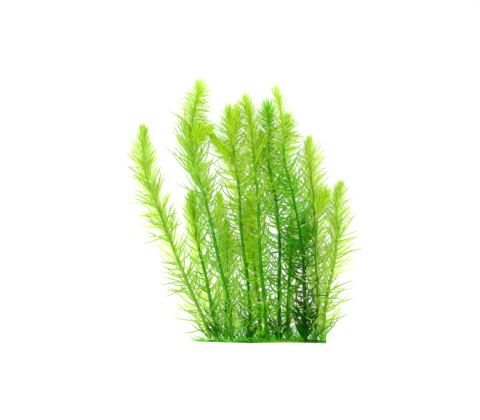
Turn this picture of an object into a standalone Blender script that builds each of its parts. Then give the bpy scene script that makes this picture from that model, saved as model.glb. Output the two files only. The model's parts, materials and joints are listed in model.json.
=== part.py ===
# Stream bogmoss lying on its side on the surface z = 0. A creeping base stem lies across the
# foot of the plant, leafy shoots grow from it along +Y, and side branches fork off the shoots.
# The needle leaves are fused to the stem that they grow from.

import math

import bmesh
import bpy
import numpy as np
from mathutils import Vector

MM = 0.001

# Stems, in millimetres
BASE_STEM_RADIUS = 1.3
BASE_STEM_END_RADIUS = 0.8
SHOOT_FOOT_RADIUS = 1.0
BRANCH_FOOT_RADIUS = 0.8
STEM_TIP_RADIUS = 0.55
FORK_GAP = 0.35
ROUTE_STEP = 0.4

# Leaves, in millimetres: they are shortest in the closed tuft at a tip, and full grown from the
# foot of the crown down. A crown is the crowded top of a stem.
LEAF_LENGTH = 15.0
YOUNG_LEAF_LENGTH = 6.5
SHORTEST_LEAF = 2.5
LEAF_FOOT_HEIGHT = 0.8
LEAF_FOOT_HALF_WIDTH = 0.62
LEAF_CLEARANCE = 0.25
TUFT_LENGTH = 8.0
CROWN_LENGTH = 22.0
AGEING_LENGTH = 60.0
LOWEST_LEAF_Y = -80.0

# Distances from each whorl of leaves to the next, and the stretch of bare stem at a foot
TUFT_SPACING = 1.7
CROWN_SPACING = 3.2
WHORL_SPACING = 6.0
SHOOT_BARE_FOOT = 3.0
BRANCH_BARE_FOOT = 2.0
BASE_STEM_LEAFY_END = 11.0

# Leaf angles from the stem, in degrees, and how far each whorl is turned from the last one
TUFT_ANGLE = 20.0
CROWN_ANGLE = 48.0
OLD_LEAF_ANGLE = 64.0
TOP_LEAF_ANGLE = 5.0
ANGLE_VARIATION = 6.0
WHORL_TURN = 47.5
FOOT_SPREAD = 50.0

# Ways that a crowded leaf may grow, tried from the least change to the most: turned round its
# stem, leaning towards it or away from it, and shorter
LEAF_TURNS = (0.0, 12.0, -12.0, 24.0, -24.0, 38.0, -38.0)
LEAF_LEANS = (0.0, -10.0, 10.0, -20.0, 18.0, -30.0)
LEAF_SHARES = (1.0, 0.88, 0.75, 0.6, 0.45, 0.3)
LEAST_OUTWARD = 0.12

# The stems are checked in straight pieces of this length, in millimetres. Leaves of one stem may
# touch in this share of their length, next to their feet.
STEM_CHECK_STEP = 4.0
CROWDED_FOOT_SHARE = 0.3

# Each route runs from foot to tip through points chosen by hand: x across the plant, y along it
# and the height of the stem above the surface, in millimetres.
BASE_STEM_ROUTE = [
    (52.0, -79.0, 1.6), (28.5, -78.7, 1.6), (4.5, -79.1, 1.6), (-16.5, -78.6, 1.6), (-28.0, -78.2, 1.6),
]

SHOOT_ROUTES = {
    "shoot_01": [
        (-19.0, -79.0, 1.6), (-22.5, -68.0, 4.0), (-32.0, -46.0, 5.0), (-43.0, -19.0, 5.2),
        (-51.5, 4.0, 5.2), (-58.0, 22.0, 5.2), (-60.0, 38.5, 5.0), (-60.0, 48.0, 4.6),
    ],
    "shoot_02": [
        (-15.0, -79.0, 1.6), (-17.5, -65.0, 4.0), (-22.0, -40.0, 5.0), (-27.5, -17.0, 5.0),
        (-29.5, -2.0, 5.0), (-30.5, 8.5, 4.8),
    ],
    "shoot_03": [
        (-10.0, -79.0, 1.6), (-10.0, -65.0, 4.2), (-9.5, -41.0, 4.8), (-9.5, -23.0, 4.8),
        (-10.0, -9.0, 4.6),
    ],
    "shoot_04": [
        (-6.5, -79.0, 1.6), (-8.0, -56.0, 9.0), (-14.0, -30.5, 12.5), (-20.5, 0.0, 12.5),
        (-27.5, 23.5, 12.0), (-31.5, 41.0, 11.5), (-30.5, 53.5, 11.0), (-28.0, 65.0, 10.0),
        (-26.0, 73.8, 9.0),
    ],
    "shoot_05": [
        (4.0, -79.0, 1.6), (4.5, -59.0, 6.0), (2.0, -32.0, 9.0), (-0.5, -14.0, 9.5),
        (-2.5, 16.0, 9.5), (-5.5, 37.0, 9.5), (-7.0, 52.0, 9.0), (-8.0, 59.5, 8.5),
    ],
    "shoot_06": [
        (11.0, -79.0, 1.6), (10.0, -56.0, 4.2), (7.0, -32.0, 4.6), (5.5, -11.0, 4.6), (5.0, 6.5, 4.4),
    ],
    "shoot_07": [
        (15.0, -79.0, 1.6), (13.5, -59.0, 9.0), (10.5, -26.0, 14.0), (9.5, -2.0, 14.5),
        (8.0, 22.0, 14.5), (5.5, 43.0, 14.0), (4.0, 58.0, 12.5), (2.0, 65.5, 11.5),
    ],
    "shoot_08": [
        (22.5, -79.0, 1.6), (22.0, -53.0, 6.5), (22.0, -14.0, 9.5), (19.0, 13.0, 9.5),
        (15.5, 29.5, 9.5), (16.0, 49.0, 9.0), (15.0, 62.0, 8.5),
    ],
    "shoot_09": [
        (27.5, -79.0, 1.6), (27.5, -56.0, 4.2), (29.0, -30.5, 4.6), (30.5, -14.0, 4.6), (30.0, -6.0, 4.6),
    ],
    "shoot_10": [
        (38.0, -79.0, 1.6), (37.5, -59.0, 8.0), (36.5, -32.0, 13.5), (33.5, -8.0, 15.0),
        (28.5, 16.0, 15.0), (24.5, 34.0, 14.5), (26.0, 49.0, 13.5), (26.5, 55.5, 13.0),
    ],
    "shoot_11": [
        (44.0, -79.0, 1.6), (45.5, -53.0, 6.0), (44.5, -26.0, 8.0), (43.0, 1.0, 8.0),
        (41.0, 25.0, 8.0), (40.5, 41.0, 7.0),
    ],
    "shoot_12": [
        (48.5, -79.0, 1.6), (50.5, -55.0, 4.0), (55.0, -32.0, 5.0), (57.5, -12.5, 5.0),
        (56.5, 4.0, 5.0), (58.5, 14.0, 4.8),
    ],
}

# A side branch starts on the axis of the shoot that it forks from.
BRANCH_ROUTES = {
    "shoot_04_lower_branch": [
        "shoot_04", (-17.5, -14.0, 12.6), (-15.0, -6.5, 12.0), (-13.0, 2.0, 10.5), (-13.5, 7.5, 9.5),
    ],
    "shoot_04_upper_branch": [
        "shoot_04", (-31.0, 37.0, 11.7), (-28.5, 42.0, 14.0), (-25.0, 46.5, 15.5), (-21.0, 49.0, 15.5),
    ],
    "shoot_05_lower_branch": [
        "shoot_05", (-4.0, 25.0, 9.5), (-8.0, 32.5, 7.5), (-13.0, 39.0, 5.8), (-17.5, 44.5, 5.2),
    ],
    "shoot_05_upper_branch": [
        "shoot_05", (-6.0, 41.0, 9.4), (-5.0, 50.0, 13.5), (-4.0, 59.5, 15.0),
    ],
    "shoot_07_branch": [
        "shoot_07", (8.0, 23.5, 14.5), (9.0, 32.0, 9.0), (10.5, 40.0, 5.5), (11.0, 45.5, 4.8),
    ],
    "shoot_10_upper_branch": [
        "shoot_10", (24.5, 35.0, 14.5), (24.3, 46.0, 17.5), (23.0, 58.0, 18.0), (20.5, 70.0, 17.0),
    ],
    "shoot_10_lower_branch": [
        "shoot_10", (36.5, -31.0, 13.6), (37.3, -20.0, 8.0), (37.3, -10.0, 5.0), (37.0, -4.5, 4.6),
    ],
    "shoot_11_branch": [
        "shoot_11", (43.7, -6.5, 8.0), (45.0, 0.5, 10.0), (47.5, 6.5, 11.0), (49.5, 10.0, 11.0),
    ],
}

# Leaf lengths as a share of LEAF_LENGTH, where they aren't full
LEAF_SIZES = {"base_stem": 0.5, "shoot_01": 0.92, "shoot_12": 1.06}
BRANCH_LEAF_SIZE = 0.85

# Stem and leaf colours, linear RGB: the left of the plant is young and pale, the right old and dark
PALE_GREEN = (0.36, 0.58, 0.06)
DARK_GREEN = (0.02, 0.16, 0.01)
BASE_STEM_GREEN = (0.02, 0.07, 0.01)
PALE_SIDE_X = -50.0
DARK_SIDE_X = 45.0
LEAF_ROUGHNESS = 0.5
SHARP_EDGE_ANGLE = 60.0

# A face this square to its stem's direction is a flat end, and not a side
END_FACE_COSINE = 0.7
SEED = 7


def smooth_route(points):
    """Closely spaced points on a cubic through the given ones, with their tangents and lengths."""
    points = np.array(points, dtype=float)
    knots = np.concatenate([[0.0], np.cumsum(np.linalg.norm(np.diff(points, axis=0), axis=1))])
    slopes = np.gradient(points, knots, axis=0)
    along = np.linspace(0.0, knots[-1], int(knots[-1] / ROUTE_STEP) + 2)
    part = np.clip(np.searchsorted(knots, along, side="right") - 1, 0, len(knots) - 2)
    span = (knots[part + 1] - knots[part])[:, None]
    u = (along - knots[part])[:, None] / span
    route = (
        (2 * u**3 - 3 * u**2 + 1) * points[part]
        + (u**3 - 2 * u**2 + u) * span * slopes[part]
        + (3 * u**2 - 2 * u**3) * points[part + 1]
        + (u**3 - u**2) * span * slopes[part + 1]
    )
    lengths = np.concatenate([[0.0], np.cumsum(np.linalg.norm(np.diff(route, axis=0), axis=1))])
    tangents = np.gradient(route, lengths, axis=0)
    tangents /= np.linalg.norm(tangents, axis=1, keepdims=True)
    return route, tangents, lengths


def places_at(stem, where):
    """The points of a stem's axis at the given lengths along it."""
    route = stem["route"]
    return np.stack([np.interp(where, stem["lengths"], route[:, axis]) for axis in range(3)], axis=-1)


def foot_length(route, tangents, lengths, radius, parent):
    """How far along its route a stem starts, so that its flat foot clears the parent's surface."""
    distances = np.linalg.norm(route[:, None, :] - parent["route"][None, :, :], axis=2)
    nearest = distances.argmin(axis=1)
    slant = np.abs((tangents * parent["tangents"][nearest]).sum(axis=1))
    needed = parent["radii"][nearest] + radius * slant + FORK_GAP
    return lengths[np.argmax(distances.min(axis=1) >= needed)]


def whorl_lengths(length, bare_foot):
    """Where the whorls of leaves sit along a stem, crowded near its tip."""
    below_tip = TUFT_SPACING / 2
    found = []
    while length - below_tip > bare_foot:
        found.append(length - below_tip)
        opened = min(1.0, 2 * below_tip / CROWN_LENGTH)
        in_crown = below_tip < CROWN_LENGTH
        crown_step = TUFT_SPACING + (CROWN_SPACING - TUFT_SPACING) * opened
        below_tip += crown_step if in_crown else WHORL_SPACING
    return np.array(found[::-1])


def plan_stem(name, points, foot_radius, tip_radius, bare_foot, parent=None):
    route, tangents, lengths = smooth_route(points)
    start = foot_length(route, tangents, lengths, foot_radius, parent) if parent else 0.0
    kept = lengths >= start
    lengths = lengths[kept] - lengths[kept][0]
    return {
        "name": name,
        "route": route[kept],
        "tangents": tangents[kept],
        "lengths": lengths,
        "radii": foot_radius + (tip_radius - foot_radius) * lengths / lengths[-1],
        "whorls": whorl_lengths(lengths[-1], bare_foot),
    }


def plan_plant():
    """The base stem first, then the shoots on it, then the branches on the shoots."""
    base = plan_stem("base_stem", BASE_STEM_ROUTE, BASE_STEM_RADIUS, BASE_STEM_END_RADIUS, 0.0)
    base["whorls"] = base["whorls"][base["whorls"] > base["lengths"][-1] - BASE_STEM_LEAFY_END]
    stems = {"base_stem": base}
    for name, points in SHOOT_ROUTES.items():
        stems[name] = plan_stem(name, points, SHOOT_FOOT_RADIUS, STEM_TIP_RADIUS, SHOOT_BARE_FOOT, base)
    for name, (parent, *points) in BRANCH_ROUTES.items():
        stems[name] = plan_stem(
            name, points, BRANCH_FOOT_RADIUS, STEM_TIP_RADIUS, BRANCH_BARE_FOOT, stems[parent]
        )
    for name, stem in stems.items():
        stem["leaf_size"] = BRANCH_LEAF_SIZE if name in BRANCH_ROUTES else LEAF_SIZES.get(name, 1.0)
    return list(stems.values())


def build_stem(stem):
    """A four-sided tube with a narrow band for each whorl, each band turned a little from the last."""
    stations = [(0.0, 0)]
    for index, where in enumerate(stem["whorls"]):
        stations.append((where - LEAF_FOOT_HEIGHT / 2, index))
        stations.append((where + LEAF_FOOT_HEIGHT / 2, index))
    stations.append((stem["lengths"][-1], len(stem["whorls"]) - 1))
    where = np.array([station[0] for station in stations])
    places = places_at(stem, where) * MM
    radii = np.interp(where, stem["lengths"], stem["radii"])

    curve = bpy.data.curves.new(stem["name"], "CURVE")
    curve.dimensions = "3D"
    curve.bevel_depth = MM
    curve.bevel_resolution = 0
    curve.use_fill_caps = True
    spline = curve.splines.new("POLY")
    spline.points.add(len(stations) - 1)
    for point, place, radius, (_, index) in zip(spline.points, places, radii, stations):
        point.co = (*place, 1.0)
        point.radius = radius
        point.tilt = math.radians(WHORL_TURN * index)
    guide = bpy.data.objects.new(stem["name"] + "_route", curve)
    bpy.context.scene.collection.objects.link(guide)
    bpy.context.view_layer.update()
    evaluated = guide.evaluated_get(bpy.context.evaluated_depsgraph_get())
    stem["mesh"] = bpy.data.meshes.new_from_object(evaluated)
    bpy.data.objects.remove(guide)
    bpy.data.curves.remove(curve)

    shape = bmesh.new()
    shape.from_mesh(stem["mesh"])
    bmesh.ops.remove_doubles(shape, verts=shape.verts, dist=0.00001)
    stem["shape"] = shape


def leaf_feet(stem):
    """The faces that leaves grow from, each with its whorl: the bands' sides, halved in the crown, and
    the flat end of the tip, which has no whorl."""
    feet = []
    for face in list(stem["shape"].faces):
        centre = np.array(face.calc_center_median()) / MM
        nearest = np.linalg.norm(stem["route"] - centre, axis=1).argmin()
        where = stem["lengths"][nearest]
        upward_share = float(np.dot(face.normal, stem["tangents"][nearest]))
        if abs(upward_share) > END_FACE_COSINE:
            if upward_share > 0.0:
                feet.append((face, None))
            continue
        whorl = stem["whorls"][np.abs(stem["whorls"] - where).argmin()]
        if abs(whorl - where) > LEAF_FOOT_HEIGHT / 2:
            continue
        if stem["lengths"][-1] - where < CROWN_LENGTH:
            halves = bmesh.ops.triangulate(stem["shape"], faces=[face])["faces"]
            feet.extend((half, whorl) for half in halves)
        else:
            feet.append((face, whorl))
    return feet


def segment_gaps(starts_a, ends_a, widths_a, starts_b, ends_b, widths_b):
    """The least gap between every tapering spike a and every spike b. A pair of widths gives the
    half-widths of a spike at its start and its end."""
    along_a = (ends_a - starts_a)[:, None, :]
    along_b = (ends_b - starts_b)[None, :, :]
    between = starts_a[:, None, :] - starts_b[None, :, :]
    aa = np.maximum((along_a * along_a).sum(axis=2), 1e-9)
    bb = np.maximum((along_b * along_b).sum(axis=2), 1e-9)
    ab = (along_a * along_b).sum(axis=2)
    ac = (along_a * between).sum(axis=2)
    bc = (along_b * between).sum(axis=2)
    cross = np.maximum(aa * bb - ab * ab, 1e-9)
    share_a = np.clip((ab * bc - ac * bb) / cross, 0.0, 1.0)
    share_b = np.clip((ab * share_a + bc) / bb, 0.0, 1.0)
    share_a = np.clip((ab * share_b - ac) / aa, 0.0, 1.0)
    apart = between + share_a[..., None] * along_a - share_b[..., None] * along_b
    width_a = widths_a[0] + (widths_a[1] - widths_a[0]) * share_a
    width_b = widths_b[0] + (widths_b[1] - widths_b[0]) * share_b
    return np.linalg.norm(apart, axis=2) - width_a - width_b


def turned(vector, axis, degrees):
    """One vector turned about a unit axis by each of the angles."""
    angles = np.radians(degrees)[:, None]
    along = np.dot(vector, axis) * axis
    return along + (vector - along) * np.cos(angles) + np.cross(axis, vector) * np.sin(angles)


class LeafRoom:
    """Keeps each leaf clear of the other stems and leaves, and on or above the surface."""

    def __init__(self, stems):
        starts, ends, radii, owners = [], [], [], []
        for number, stem in enumerate(stems):
            where = np.arange(0.0, stem["lengths"][-1], STEM_CHECK_STEP)
            where = np.append(where, stem["lengths"][-1])
            places = places_at(stem, where)
            starts.append(places[:-1])
            ends.append(places[1:])
            radii.append(np.interp(where[:-1], stem["lengths"], stem["radii"]))
            owners.append(np.full(len(where) - 1, number))
        self.stems = [np.concatenate(rows) for rows in (starts, ends, radii, owners)]
        self.leaves = [np.zeros((0, 3)), np.zeros((0, 3)), np.zeros(0, dtype=int)]
        turns, leans, shares = np.meshgrid(LEAF_TURNS, LEAF_LEANS, LEAF_SHARES, indexing="ij")
        change = np.abs(turns) / 40.0 + np.abs(leans) / 30.0 + 2.0 * (1.0 - shares)
        order = np.argsort(change.ravel(), kind="stable")
        self.ways = [values.ravel()[order] for values in (turns, leans, shares)]

    def tips(self, foot, outward, upward, angle, length):
        """The tip for each way of growing. A leaf that would pass through the surface lies on it."""
        turns, leans, shares = self.ways
        lengths = length * shares
        angles = np.radians(np.clip(angle + leans, TOP_LEAF_ANGLE, 95.0))[:, None]
        directions = np.cos(angles) * upward + np.sin(angles) * turned(outward, upward, turns)
        steepest = -foot[2] / lengths
        low = directions[:, 2] < steepest
        level = np.linalg.norm(directions[:, :2], axis=1)
        lying = np.sqrt(np.clip(1.0 - steepest**2, 0.0, 1.0)) / np.maximum(level, 1e-6)
        directions[:, :2] *= np.where(low, lying, 1.0)[:, None]
        directions[:, 2] = np.where(low, steepest, directions[:, 2])
        tips = foot + directions * lengths[:, None]
        grows = (lengths >= SHORTEST_LEAF) & (tips[:, 1] > LOWEST_LEAF_Y) & (tips[:, 2] > -0.001)
        return tips[grows & (directions @ outward > LEAST_OUTWARD)]

    def grow(self, owner, foot, outward, upward, angle, length):
        """The tip of the first way of growing that is clear of everything, or None."""
        tips = self.tips(foot, outward, upward, angle, length)
        feet = np.tile(foot, (len(tips), 1))
        clear = np.ones(len(tips), dtype=bool)
        spike = (LEAF_FOOT_HALF_WIDTH, 0.0)

        starts, ends, radii, owners = self.stems
        near = (owners != owner) & (np.linalg.norm(starts - foot, axis=1) < length + 2 * STEM_CHECK_STEP)
        if near.any():
            gaps = segment_gaps(feet, tips, spike, starts[near], ends[near], (radii[near], radii[near]))
            clear &= (gaps > LEAF_CLEARANCE).all(axis=1)

        starts, ends, owners = self.leaves
        close = np.linalg.norm((starts + ends) / 2 - foot, axis=1) < length + LEAF_LENGTH / 2
        near = close & (owners != owner)
        if near.any():
            gaps = segment_gaps(feet, tips, spike, starts[near], ends[near], spike)
            clear &= (gaps > LEAF_CLEARANCE).all(axis=1)
        near = close & (owners == owner)
        if near.any():
            outer = feet + CROWDED_FOOT_SHARE * (tips - feet)
            other_outer = starts[near] + CROWDED_FOOT_SHARE * (ends[near] - starts[near])
            spike = ((1.0 - CROWDED_FOOT_SHARE) * LEAF_FOOT_HALF_WIDTH, 0.0)
            clear &= (segment_gaps(outer, tips, spike, other_outer, ends[near], spike) > 0.0).all(axis=1)

        if not clear.any():
            return None
        tip = tips[np.argmax(clear)]
        self.leaves = [np.vstack([starts, foot]), np.vstack([ends, tip]), np.append(owners, owner)]
        return tip


def leaf_habit(below_tip, leaf_size):
    """The angle from the stem and the length of a leaf that grows this far below the tip."""
    below_tip = max(0.0, below_tip)
    opened = min(1.0, below_tip / TUFT_LENGTH)
    aged = min(1.0, max(0.0, below_tip - CROWN_LENGTH) / AGEING_LENGTH)
    grown = min(1.0, below_tip / CROWN_LENGTH)
    angle = TUFT_ANGLE + (CROWN_ANGLE - TUFT_ANGLE) * opened + (OLD_LEAF_ANGLE - CROWN_ANGLE) * aged
    length = YOUNG_LEAF_LENGTH + (LEAF_LENGTH * leaf_size - YOUNG_LEAF_LENGTH) * grown
    return angle, length


def grow_leaves(stems):
    """Draws each leaf's foot face out to a point, in a mixed order so that no stem comes first."""
    random = np.random.default_rng(SEED)
    room = LeafRoom(stems)
    feet = [(number, *foot) for number, stem in enumerate(stems) for foot in leaf_feet(stem)]
    for index in random.permutation(len(feet)):
        number, face, whorl = feet[index]
        stem = stems[number]
        foot = np.array(face.calc_center_median()) / MM
        nearest = np.linalg.norm(stem["route"] - foot, axis=1).argmin()
        upward = stem["tangents"][nearest]
        where = stem["lengths"][nearest] + float(np.dot(foot - stem["route"][nearest], upward))
        angle, length = leaf_habit(stem["lengths"][-1] - where, stem["leaf_size"])
        if whorl is None:
            outward = np.cross(upward, (0.0, 0.0, 1.0))
            angle = TOP_LEAF_ANGLE
        else:
            outward = foot - places_at(stem, where)
            outward -= upward * float(np.dot(outward, upward))
            angle -= FOOT_SPREAD * (where - whorl)
        outward /= np.linalg.norm(outward)
        angle += random.uniform(-ANGLE_VARIATION, ANGLE_VARIATION)
        length *= random.uniform(0.85, 1.05)
        tip = room.grow(number, foot, outward, upward, angle, length)
        if tip is not None:
            point = bmesh.ops.poke(stem["shape"], faces=[face])["verts"][0]
            point.co = Vector(tip * MM)


def leaf_green(stem):
    if stem["name"] == "base_stem":
        return BASE_STEM_GREEN
    middle = stem["route"][:, 0].mean()
    share = np.clip((middle - PALE_SIDE_X) / (DARK_SIDE_X - PALE_SIDE_X), 0.0, 1.0)
    return tuple((1.0 - share) * np.array(PALE_GREEN) + share * np.array(DARK_GREEN))


def paint(mesh, name, colour):
    material = bpy.data.materials.new(name)
    material.use_nodes = True
    shader = material.node_tree.nodes["Principled BSDF"]
    shader.inputs["Base Color"].default_value = (*colour, 1.0)
    shader.inputs["Roughness"].default_value = LEAF_ROUGHNESS
    shader.inputs["Metallic"].default_value = 0.0
    material.diffuse_color = (*colour, 1.0)
    mesh.materials.append(material)


def finish_stem(stem, plant):
    mesh = stem["mesh"]
    shape = stem["shape"]
    bmesh.ops.triangulate(shape, faces=shape.faces)
    shape.to_mesh(mesh)
    shape.free()
    mesh.name = stem["name"]
    mesh.shade_smooth()
    mesh.set_sharp_from_angle(angle=math.radians(SHARP_EDGE_ANGLE))
    paint(mesh, stem["name"] + "_green", leaf_green(stem))
    plant.objects.link(bpy.data.objects.new(stem["name"], mesh))


def build_plant():
    for old in list(bpy.data.objects):
        bpy.data.objects.remove(old)
    plant = bpy.data.collections.new("stream_bogmoss")
    bpy.context.scene.collection.children.link(plant)
    stems = plan_plant()
    for stem in stems:
        build_stem(stem)
    grow_leaves(stems)
    for stem in stems:
        finish_stem(stem, plant)


build_plant()
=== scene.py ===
# Stream bogmoss, a soft leafy water plant, lying on a pale floor and seen from straight above.
# Each stem is a fine ridged tube, and its needle leaves are one mesh of thin closed blades.
import json
import math

import bpy
import numpy as np
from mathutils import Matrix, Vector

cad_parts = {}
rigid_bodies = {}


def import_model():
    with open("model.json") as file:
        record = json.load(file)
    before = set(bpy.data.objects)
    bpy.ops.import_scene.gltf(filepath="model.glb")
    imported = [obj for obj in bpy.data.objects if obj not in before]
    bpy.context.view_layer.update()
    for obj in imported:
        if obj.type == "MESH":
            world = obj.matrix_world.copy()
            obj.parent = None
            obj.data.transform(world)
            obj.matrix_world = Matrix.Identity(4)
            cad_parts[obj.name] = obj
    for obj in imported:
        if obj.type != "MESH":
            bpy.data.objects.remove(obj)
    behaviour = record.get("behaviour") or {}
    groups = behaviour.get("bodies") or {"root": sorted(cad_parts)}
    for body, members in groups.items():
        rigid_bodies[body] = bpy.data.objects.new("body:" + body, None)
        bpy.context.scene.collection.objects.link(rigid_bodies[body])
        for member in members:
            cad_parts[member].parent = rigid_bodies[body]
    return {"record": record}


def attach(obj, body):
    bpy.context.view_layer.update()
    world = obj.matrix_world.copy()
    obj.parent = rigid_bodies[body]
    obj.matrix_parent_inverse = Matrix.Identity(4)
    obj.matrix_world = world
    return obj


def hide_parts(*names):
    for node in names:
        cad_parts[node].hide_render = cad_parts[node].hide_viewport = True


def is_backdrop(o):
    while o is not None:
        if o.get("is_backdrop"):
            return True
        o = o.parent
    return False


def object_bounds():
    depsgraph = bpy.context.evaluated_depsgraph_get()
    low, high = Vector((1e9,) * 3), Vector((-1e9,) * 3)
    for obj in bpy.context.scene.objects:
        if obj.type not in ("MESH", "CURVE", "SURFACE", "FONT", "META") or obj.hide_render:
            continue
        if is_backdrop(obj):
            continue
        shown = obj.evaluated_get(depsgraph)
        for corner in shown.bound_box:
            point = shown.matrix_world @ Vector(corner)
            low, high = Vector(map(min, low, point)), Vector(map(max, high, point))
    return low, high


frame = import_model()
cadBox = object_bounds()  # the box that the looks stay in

mm = 0.001  # shapes are worked out in mm and put into the meshes in metres


# Routes

def unit(vectors):
    return vectors / np.maximum(np.linalg.norm(vectors, axis=-1, keepdims=True), 1e-9)


def shareBetween(values, low, high):
    # 0 up to low, 1 from high on, and straight between them
    return np.clip((values - low) / (high - low), 0.0, 1.0)


def lengthsAlong(places):
    return np.concatenate([[0.0], np.cumsum(np.linalg.norm(np.diff(places, axis=0), axis=1))])


def smoothRoute(points, step=0.4):
    # cubic Hermite through the points, with slopes from their neighbours over the chord length
    points = np.array(points, dtype=float)
    knots = lengthsAlong(points)
    slopes = np.gradient(points, knots, axis=0)
    along = np.linspace(0.0, knots[-1], int(knots[-1] / step) + 2)
    part = np.clip(np.searchsorted(knots, along, side="right") - 1, 0, len(knots) - 2)
    span = (knots[part + 1] - knots[part])[:, None]
    u = (along - knots[part])[:, None] / span
    places = (
        (2 * u**3 - 3 * u**2 + 1) * points[part]
        + (u**3 - 2 * u**2 + u) * span * slopes[part]
        + (3 * u**2 - 2 * u**3) * points[part + 1]
        + (u**3 - u**2) * span * slopes[part + 1]
    )
    lengths = lengthsAlong(places)
    return {"places": places, "runs": unit(np.gradient(places, lengths, axis=0)), "lengths": lengths}


def readRoute(route, where, what):
    return np.stack([np.interp(where, route["lengths"], route[what][:, i]) for i in range(3)], axis=-1)


def frameAlong(runs):
    # side is level and square to the run, lift is square to both
    side = unit(np.cross(runs, (0.0, 0.0, 1.0)))
    return side, np.cross(side, runs)


def closedFaces(rings, sides):
    # quads from ring to ring, then a fan to the foot point and one to the tip point, the last two points
    i, j = np.meshgrid(np.arange(rings - 1), np.arange(sides), indexing="ij")
    nextJ = (j + 1) % sides
    corners = [i * sides + j, i * sides + nextJ, (i + 1) * sides + nextJ, (i + 1) * sides + j]
    quads = np.stack(corners, axis=-1).reshape(-1, 4)
    j = np.arange(sides)
    nextJ = (j + 1) % sides
    last = (rings - 1) * sides
    foot = np.stack([nextJ, j, np.full(sides, rings * sides)], axis=-1)
    tip = np.stack([last + j, last + nextJ, np.full(sides, rings * sides + 1)], axis=-1)
    return [quads, foot, tip]


# Stems

stemForm = {
    "baseRadii": (1.0, 0.6),  # mm, at the foot and at the tip
    "shootRadii": (1.12, 0.55),
    "branchRadii": (0.8, 0.55),
    "forkGap": 0.35,
    "step": 0.7,  # mm from ring to ring
    "sides": 12,
    "ridges": 5,
    "ridgeHeight": 0.06,  # share of the radius
    "ridgeWander": (0.9, 9.0),  # radians to either side, and mm of stem for one radian of the wave
    "ripple": (0.05, 0.9),  # share of the radius, and mm of stem for one radian of the wave
    "ends": (0.9, 0.55),  # width of the first and the last ring, as shares, which rounds the ends
    "bareFoot": (0.5, 1.0),  # mm without leaves, on shoots and on branches
}


def planStem(points, radii, parent=None):
    # a branch starts where it clears its parent's surface
    route = smoothRoute(points)
    if parent is not None:
        apart = np.linalg.norm(route["places"][:, None] - parent["places"][None], axis=2)
        nearest = apart.argmin(axis=1)
        slant = np.abs((route["runs"] * parent["runs"][nearest]).sum(axis=1))
        needed = parent["radii"][nearest] + radii[0] * slant + stemForm["forkGap"]
        first = np.argmax(apart.min(axis=1) >= needed)
        route = {key: values[first:] for key, values in route.items()}
        route["lengths"] = route["lengths"] - route["lengths"][0]
    route["radii"] = radii[0] + (radii[1] - radii[0]) * route["lengths"] / route["lengths"][-1]
    return route


def carriedTube(route):
    # a circle with soft ridges carried along the route: the radius at s is
    # r(s) * (1 + ridgeHeight * cos(ridges * turn + wander(s)) + ripple(s)), and both waves are sines of s
    length = route["lengths"][-1]
    rings = int(length / stemForm["step"]) + 2
    sides = stemForm["sides"]
    where = np.linspace(0.0, length, rings)
    turn = np.linspace(0.0, 2 * math.pi, sides, endpoint=False)
    centre = readRoute(route, where, "places")
    side, lift = frameAlong(unit(readRoute(route, where, "runs")))
    radius = np.interp(where, route["lengths"], route["radii"])
    wander = stemForm["ridgeWander"][0] * np.sin(where / stemForm["ridgeWander"][1])
    ripple = stemForm["ripple"][0] * np.sin(where / stemForm["ripple"][1])
    ridges = stemForm["ridgeHeight"] * np.cos(stemForm["ridges"] * turn[None] + wander[:, None])
    ring = radius[:, None] * (1.0 + ridges + ripple[:, None])
    ring[0] *= stemForm["ends"][0]
    ring[-1] *= stemForm["ends"][1]
    outward = np.cos(turn)[None, :, None] * side[:, None] + np.sin(turn)[None, :, None] * lift[:, None]
    places = centre[:, None] + ring[..., None] * outward
    verts = np.concatenate([places.reshape(-1, 3), centre[:1], centre[-1:]])
    # own: a place on a plain rod, for the skin's patterns
    own = np.stack(np.broadcast_arrays(np.cos(turn)[None], np.sin(turn)[None], where[:, None]), axis=-1)
    own = np.concatenate([own.reshape(-1, 3), [[0.0, 0.0, where[0]], [0.0, 0.0, where[-1]]]])
    return verts, own, closedFaces(rings, sides)


# Leaves

goldenTurn = math.radians(137.508)  # from each leaf to the next one down the stem

# The form that all leaves share, in mm and degrees
leafForm = {
    "segments": 7,
    "thickness": 0.24,
    "widestAt": 0.2,  # share of the length
    "footWidth": 0.55,  # share of the full width
    "widthTaper": 0.45,  # powers of the straight taper from the widest point to the tip
    "depthTaper": 0.6,
    "fullWidthAt": 12.0,  # length of a leaf with the full width
    "widthLimits": (0.75, 1.05),  # share of the full width, on short leaves and on long ones
    "footSink": 0.25,  # how far the foot starts inside the stem
    "crowding": 1.2,
    "countedAt": 600,  # points down a stem at which its leaves are counted
    "placeJitter": 0.4,  # share of the way to the next leaf
    "turnJitter": 18.0,  # about the stem
    "angleJitter": 10.0,
    "wildShare": 0.2,  # share of the leaves that bend far astray
    "wildBend": 2.6,  # and how many times as far as the others
    "lengthJitter": 0.16,
    "lengthLimits": (-0.4, 0.3),
    "sideBend": 20.0,
    "twist": 28.0,  # about its own run, either way
    "twistAtFoot": 0.3,  # share of the twist
    "startLimits": (2.0, 100.0),
    "bendEase": 0.9,  # power of the share of the length, under 1 for more bend near the foot
    "flatJitter": (0.6, 1.1),  # times laidFlat
    "upperSide": (-0.35, 0.15),  # rise of the way out of the stem, from the floor side to the upper side
    "strayAtTip": 0.4,  # share of all the straying that leaves at the tip have
    "strayGrows": 12.0,  # distance below the tip for a whole share more
    "sagBetween": (1.5, 6.5),  # heights over which limp leaves start to hang
    "landing": 2.2,  # segments over which a leaf levels out above the floor
    "steepestUp": (0.6, 0.9),  # most rise from the floor, and most run away from the foot line
    "floorRoom": 0.5,  # leaves on the floor lie up to this much higher than each other
    "lowest": 0.03,  # height of a leaf's lowest point
    "footLine": -79.2,  # Y below which no leaf goes
}
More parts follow.
